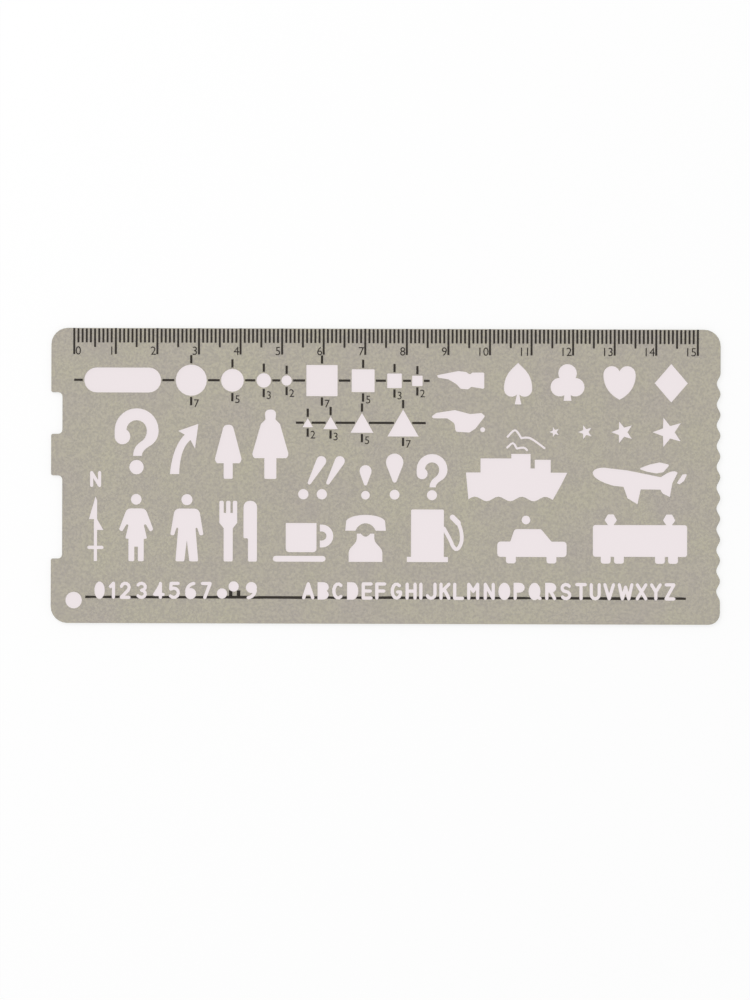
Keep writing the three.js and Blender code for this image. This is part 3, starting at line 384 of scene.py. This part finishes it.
def roughen(tree, shader, value, depth, strength):
    """Fine bumps from noise."""
    bump = tree.nodes.new("ShaderNodeBump")
    bump.inputs["Strength"].default_value = strength
    bump.inputs["Distance"].default_value = depth
    tree.links.new(value, bump.inputs["Height"])
    tree.links.new(bump.outputs["Normal"], shader.inputs["Normal"])


def smoke_plastic(settings):
    """See-through smoke plastic with satin faces: clouds from warm grey to olive, and fine grain."""
    material, tree, shader, place = new_material("smoke_plastic")
    cloud = shaded(tree, grain(tree, place, CLOUDS, detail=4), settings.tint, CLOUD_DEPTHS)
    fleck = shaded(tree, grain(tree, place, FLECKS, detail=2), FLECK_TINT, FLECK_DEPTHS, FLECK_REACH)
    satin = spread(tree, grain(tree, place, SATIN, detail=3), low=0.3, high=0.46)
    tree.links.new(multiplied(tree, cloud, fleck), shader.inputs["Base Color"])
    tree.links.new(satin, shader.inputs["Roughness"])
    roughen(tree, shader, grain(tree, place, PORES, detail=2), depth=0.01 * MM, strength=0.25)
    shader.inputs["IOR"].default_value = PLASTIC_IOR
    shader.inputs["Alpha"].default_value = settings.cover
    return material


def cut_rim(settings):
    """The frosted edge that a cutter leaves, with fine upright scoring."""
    material, tree, shader, place = new_material("cut_rim")
    stretch = tree.nodes.new("ShaderNodeMapping")
    stretch.inputs["Scale"].default_value = SCORE_STRETCH
    tree.links.new(place, stretch.inputs["Vector"])
    score = grain(tree, stretch.outputs["Vector"], SCORES, detail=2)
    tree.links.new(shaded(tree, score, settings.rim_tint, SCORE_DEPTHS), shader.inputs["Base Color"])
    tree.links.new(spread(tree, score, low=0.45, high=0.65), shader.inputs["Roughness"])
    roughen(tree, shader, score, depth=0.012 * MM, strength=0.4)
    shader.inputs["IOR"].default_value = PLASTIC_IOR
    shader.inputs["Alpha"].default_value = settings.rim_cover
    return material


def screen_ink(settings):
    """Dark screen ink: matt, a little uneven where the mesh laid it down."""
    material = bpy.data.materials.get("screen_ink")
    if material:
        return material
    material, tree, shader, place = new_material("screen_ink")
    lay = grain(tree, place, INK_LAY, detail=3)
    tree.links.new(shaded(tree, lay, settings.ink, INK_DEPTHS), shader.inputs["Base Color"])
    tree.links.new(spread(tree, lay, low=0.5, high=0.68), shader.inputs["Roughness"])
    roughen(tree, shader, grain(tree, place, INK_TOOTH, detail=2), depth=0.005 * MM, strength=0.3)
    shader.inputs["Specular IOR Level"].default_value = INK_SPECULAR
    return material


def seen_directly(tree):
    """One for a ray from the camera, a mirror or clear glass, and nought for light on things."""
    path = tree.nodes.new("ShaderNodeLightPath")
    total = path.outputs["Is Camera Ray"]
    for name in ("Is Glossy Ray", "Is Transmission Ray"):
        more = tree.nodes.new("ShaderNodeMath")
        more.operation = "MAXIMUM"
        tree.links.new(total, more.inputs[0])
        tree.links.new(path.outputs[name], more.inputs[1])
        total = more.outputs[0]
    return total


def paper(name, tint, glow):
    """Paper that shows the camera a share of its colour without light, and keeps some shadow."""
    material, tree, shader, _ = new_material(name)
    lift = tree.nodes.new("ShaderNodeMath")
    lift.operation = "MULTIPLY"
    lift.inputs[1].default_value = glow
    tree.links.new(seen_directly(tree), lift.inputs[0])
    tree.links.new(lift.outputs[0], shader.inputs["Emission Strength"])
    shader.inputs["Emission Color"].default_value = [*tint, 1]
    shader.inputs["Base Color"].default_value = [part * (1 - glow) for part in tint] + [1]
    shader.inputs["Roughness"].default_value = PAPER_ROUGHNESS
    shader.inputs["Specular IOR Level"].default_value = 0.0
    return material


# Sheet

def refilled(piece, level):
    """Fills the flat face at this height anew, so that no sliver of it is folded over."""
    mesh = edit(piece)
    choose(piece, mesh.faces, lambda face: flat_at(face, level))
    bpy.ops.mesh.delete(type="FACE")
    mesh = edit(piece, "EDGE")
    choose(piece, mesh.edges, lambda edge: edge.is_boundary)
    bpy.ops.mesh.remove_doubles(threshold=TIP)
    bpy.ops.mesh.fill(use_beauty=True)
    bpy.ops.mesh.select_all(action="SELECT")
    bpy.ops.mesh.normals_make_consistent(inside=False)
    pick(piece)


def chamfered(piece, level, width, inwards):
    """Chamfers every rim of the flat face at this height. Inwards is up or down, into the sheet."""
    mesh = edit(piece)
    choose(piece, mesh.faces, lambda face: flat_at(face, level))
    bpy.ops.mesh.inset(thickness=width, depth=0, use_boundary=True, use_even_offset=False)
    mesh = edit(piece, "VERT")
    choose(piece, mesh.verts, lambda point: on_rim(point, level))
    bpy.ops.transform.translate(value=(0, 0, inwards * width))
    refilled(piece, level)


class RULER_OT_sheet(bpy.types.Operator):
    """Make the cut sheet with chamfered rims"""

    bl_idname = "ruler.sheet"
    bl_label = "Cut Sheet"

    def execute(self, context):
        settings = context.scene.ruler_sheet
        sheet = sheet_copy("smoke_sheet")
        chamfered(sheet, FACE, settings.rim, inwards=-1)
        chamfered(sheet, BACK, settings.rim, inwards=1)
        bpy.ops.object.shade_smooth_by_angle(angle=SMOOTH)
        sheet.data.materials.append(smoke_plastic(settings))
        sheet.data.materials.append(cut_rim(settings))
        for face in sheet.data.polygons:
            heights = [sheet.data.vertices[index].co.z for index in face.vertices]
            is_rim = max(heights) - min(heights) > CLOSE
            face.use_smooth = is_rim
            face.material_index = int(is_rim)
        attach(sheet, "root")
        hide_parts(SHEET)
        return {"FINISHED"}


# Print

class RULER_OT_row_lines(bpy.types.Operator):
    """Ink the axis lines, index marks and centimetre marks"""

    bl_idname = "ruler.row_lines"
    bl_label = "Row Lines"

    def execute(self, context):
        ink = screen_ink(context.scene.ruler_print)
        for name, node in frame["nodes"].items():
            if name == SHEET:
                continue
            node.data.materials.clear()
            node.data.materials.append(ink)
        return {"FINISHED"}


def ink_mark(width, start, end, x):
    """One printed mark with rounded corners, hung from the scale edge."""
    middle = SHEET_HIGH.y - (start + end) / 2
    pick()
    bpy.ops.mesh.primitive_cube_add(size=1, location=(x, middle, INK_MIDDLE))
    mark = bpy.context.view_layer.objects.active
    mark.scale = (width, end - start, INK_FILM)
    settle(mark)
    mesh = edit(mark, "EDGE")
    choose(mark, mesh.edges, upright)
    bpy.ops.mesh.bevel(offset=width * MARK_ROUNDING, segments=2, affect="EDGES")
    pick(mark)
    return mark


class RULER_OT_scale_marks(bpy.types.Operator):
    """Make the millimetre marks and the five millimetre marks"""

    bl_idname = "ruler.scale_marks"
    bl_label = "Scale Marks"

    def execute(self, context):
        settings = context.scene.ruler_print
        width, start = settings.mark_width, settings.mark_inset
        ink = screen_ink(settings)
        short = ink_mark(width, start, settings.short_mark, SCALE_START + MM)
        repeated(short, MARKS_IN_HALF, MM)
        repeated(short, 2 * CENTIMETRES, HALF)
        short.name = short.data.name = "millimetre_marks"
        half = ink_mark(width, start, settings.half_mark, SCALE_START + HALF)
        repeated(half, CENTIMETRES, CENTIMETRE)
        half.name = half.data.name = "half_centimetre_marks"
        printed(short, ink)
        printed(half, ink)
        return {"FINISHED"}


def ink_text(text, size, x, y, side):
    """A printed number that stands on y and starts or ends at x."""
    pick()
    bpy.ops.object.text_add(location=(0, 0, 0))
    number = bpy.context.view_layer.objects.active
    number.data.body = text
    number.data.size = size
    number.data.align_x = side
    number.data.resolution_u = NUMERAL_STEPS
    number.data.extrude = INK_FILM / 2
    bpy.ops.object.convert(target="MESH")
    number = bpy.context.view_layer.objects.active
    number.location = (x, y, INK_MIDDLE)
    settle(number)
    cleaned(number)
    return number


class RULER_OT_numerals(bpy.types.Operator):
    """Make the numerals of the centimetre scale"""

    bl_idname = "ruler.numerals"
    bl_label = "Scale Numerals"

    def execute(self, context):
        settings = context.scene.ruler_print
        pieces = []
        for centimetre in range(CENTIMETRES + 1):
            low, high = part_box("centimetre_mark_%d" % centimetre)
            y = low.y - settings.numeral_drop
            x, side = low.x - settings.numeral_gap, "RIGHT"
            if centimetre == 0:
                x, side = high.x + settings.numeral_gap, "LEFT"
            pieces.append(ink_text(str(centimetre), settings.numeral, x, y, side))
        printed(joined("scale_numerals", pieces), screen_ink(settings))
        return {"FINISHED"}


class RULER_OT_size_digits(bpy.types.Operator):
    """Make the digits that give the sizes of the circles, squares and triangles"""

    bl_idname = "ruler.size_digits"
    bl_label = "Size Digits"

    def execute(self, context):
        settings = context.scene.ruler_print
        pieces = []
        for mark, digit in zip(SHAPE_MARKS + TRIANGLE_MARKS, SHAPE_DIGITS + TRIANGLE_DIGITS):
            low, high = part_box(mark)
            x, y = high.x + settings.digit_gap, low.y - settings.digit_drop
            pieces.append(ink_text(digit, settings.digit, x, y, "LEFT"))
        printed(joined("size_digits", pieces), screen_ink(settings))
        return {"FINISHED"}


def ink_patch(left, right, low, high):
    """A printed rectangle, less what the cut-outs take from it."""
    patch = sheet_copy("patch")
    mesh = edit(patch)
    choose(patch, mesh.faces, lambda face: not flat_at(face, FACE))
    bpy.ops.mesh.delete(type="FACE")
    for spot, normal in (((left, 0, 0), (1, 0, 0)), ((right, 0, 0), (-1, 0, 0)),
                         ((0, low, 0), (0, 1, 0)), ((0, high, 0), (0, -1, 0))):
        bpy.ops.mesh.select_all(action="SELECT")
        bpy.ops.mesh.bisect(plane_co=spot, plane_no=normal, clear_inner=True, clear_outer=False)
    bpy.ops.mesh.select_all(action="SELECT")
    bpy.ops.mesh.dissolve_limited(angle_limit=FLAT)
    pick(patch)
    applied(patch, "film", "SOLIDIFY", thickness=INK_FILM, offset=1)
    return patch


class RULER_OT_guide_line(bpy.types.Operator):
    """Make the guide line of the letter row and the marks beside the eight"""

    bl_idname = "ruler.guide_line"
    bl_label = "Guide Line"

    def execute(self, context):
        settings = context.scene.ruler_print
        top = GUIDE_Y + settings.guide / 2
        reach = settings.loop_mark / 2
        pieces = [ink_patch(GUIDE_LEFT, GUIDE_RIGHT, top - settings.guide, top)]
        for x in LOOP_MARKS:
            pieces.append(ink_patch(x - reach, x + reach, top, LOOP_MARK_TOP))
        printed(joined("letter_guide", pieces), screen_ink(settings))
        return {"FINISHED"}


# Stage

def table_top(size, drop):
    """A large square floor, just under the sheet."""
    pick()
    bpy.ops.mesh.primitive_plane_add(size=size, location=(0, 0, -drop))
    floor = bpy.context.view_layer.objects.active
    floor.name = floor.data.name = "table_top"
    settle(floor)
    return floor


def outline_paper(drop):
    """Paper of the sheet's own outline, just under it: painted shade under the sheet, darker and pinker
    than the floor.
    """
    backing = sheet_copy("painted_shade_paper")
    mesh = edit(backing)
    choose(backing, mesh.faces, lambda face: not flat_at(face, BACK))
    bpy.ops.mesh.delete(type="FACE")
    mesh = edit(backing, "EDGE")
    choose(backing, mesh.edges, lambda edge: not edge.is_boundary)
    bpy.ops.mesh.delete(type="EDGE_FACE")
    mesh = edit(backing, "VERT")
    corner = min(mesh.verts, key=lambda point: point.co.x)
    choose(backing, mesh.verts, lambda point: point is corner)
    bpy.ops.mesh.select_linked()
    bpy.ops.mesh.select_all(action="INVERT")
    bpy.ops.mesh.delete(type="VERT")
    bpy.ops.mesh.select_all(action="SELECT")
    bpy.ops.mesh.edge_face_add()
    bpy.ops.mesh.normals_make_consistent(inside=False)
    bpy.ops.transform.translate(value=(0, 0, -drop))
    pick(backing)
    return backing


def even_light(strength):
    """A world that lights the sheet evenly, and that the camera sees as white."""
    world = bpy.data.worlds.new("even_light")
    world.use_nodes = True
    tree = world.node_tree
    level = tree.nodes.new("ShaderNodeMix")
    level.inputs["A"].default_value = strength
    level.inputs["B"].default_value = 1.0
    tree.links.new(seen_directly(tree), level.inputs["Factor"])
    background = tree.nodes["Background"]
    background.inputs["Color"].default_value = (1, 1, 1, 1)
    tree.links.new(level.outputs["Result"], background.inputs["Strength"])
    return world


def soft_lamp(power, side):
    """A square lamp, up and to the left, that shines at the middle of the sheet."""
    lamp = bpy.data.lights.new("soft_lamp", "AREA")
    lamp.energy = power
    lamp.size = side
    light = bpy.data.objects.new("soft_lamp", lamp)
    light.location = LAMP_PLACE
    light.rotation_euler = (-LAMP_PLACE).to_track_quat("-Z", "Y").to_euler()
    return light


def camera_above(focal_length):
    """A camera that looks straight down and frames the sheet as the photograph does."""
    lens = bpy.data.cameras.new("camera")
    lens.lens = focal_length
    lens.clip_start = NEAREST
    lens.clip_end = FARTHEST
    distance = FRAME_HEIGHT / PIXELS_PER_METRE * lens.lens / lens.sensor_width
    camera = bpy.data.objects.new("camera", lens)
    camera.location = (*AIM, FACE + distance)
    camera.rotation_euler = (0, 0, TILT)
    return camera


class RULER_OT_stage(bpy.types.Operator):
    """Make the table, the lights and the camera"""

    bl_idname = "ruler.stage"
    bl_label = "Stage"

    def execute(self, context):
        scene = context.scene
        settings = scene.ruler_stage
        floor = table_top(settings.floor_size, settings.floor_drop)
        floor.data.materials.append(paper("table_paper", settings.floor, settings.floor_glow))
        # Painted shade under the sheet: paper of its outline, darker and pinker than the floor, seen
        # through the cut-outs.
        backing = outline_paper(settings.backing_drop)
        backing.data.materials.append(paper("painted_shade_paper", settings.backing, settings.backing_glow))
        scene.world = even_light(settings.world)
        scene.collection.objects.link(soft_lamp(settings.lamp, settings.lamp_side))
        camera = camera_above(settings.lens)
        scene.collection.objects.link(camera)
        scene.camera = camera
        scene.view_settings.view_transform = "Standard"
        return {"FINISHED"}


# Add-on

STEPS = (
    RULER_OT_sheet,
    RULER_OT_row_lines,
    RULER_OT_scale_marks,
    RULER_OT_numerals,
    RULER_OT_size_digits,
    RULER_OT_guide_line,
    RULER_OT_stage,
)
GROUPS = {"ruler_sheet": SheetSettings, "ruler_print": PrintSettings, "ruler_stage": StageSettings}


class RULER_PT_panel(bpy.types.Panel):
    """Sizes, colours and steps of the template ruler"""

    bl_idname = "RULER_PT_panel"
    bl_label = "Template Ruler"
    bl_space_type = "VIEW_3D"
    bl_region_type = "UI"
    bl_category = "Template Ruler"

    def draw(self, context):
        for name, group in GROUPS.items():
            box = self.layout.box()
            box.label(text=group.__doc__)
            for key in group.__annotations__:
                box.prop(getattr(context.scene, name), key)
        for step in STEPS:
            self.layout.operator(step.bl_idname)


def register():
    """Adds the settings, the steps and the panel to Blender."""
    for group in GROUPS.values():
        bpy.utils.register_class(group)
    for step in STEPS:
        bpy.utils.register_class(step)
    bpy.utils.register_class(RULER_PT_panel)
    for name, group in GROUPS.items():
        setattr(bpy.types.Scene, name, PointerProperty(type=group))


def unregister():
    """Takes them out again."""
    for name in GROUPS:
        delattr(bpy.types.Scene, name)
    bpy.utils.unregister_class(RULER_PT_panel)
    for step in reversed(STEPS):
        bpy.utils.unregister_class(step)
    for group in GROUPS.values():
        bpy.utils.unregister_class(group)


def main():
    """Makes the ruler and its stage."""
    register()
    bpy.ops.ruler.sheet()
    bpy.ops.ruler.row_lines()
    bpy.ops.ruler.scale_marks()
    bpy.ops.ruler.numerals()
    bpy.ops.ruler.size_digits()
    bpy.ops.ruler.guide_line()
    bpy.ops.ruler.stage()


if __name__ == "__main__":
    main()
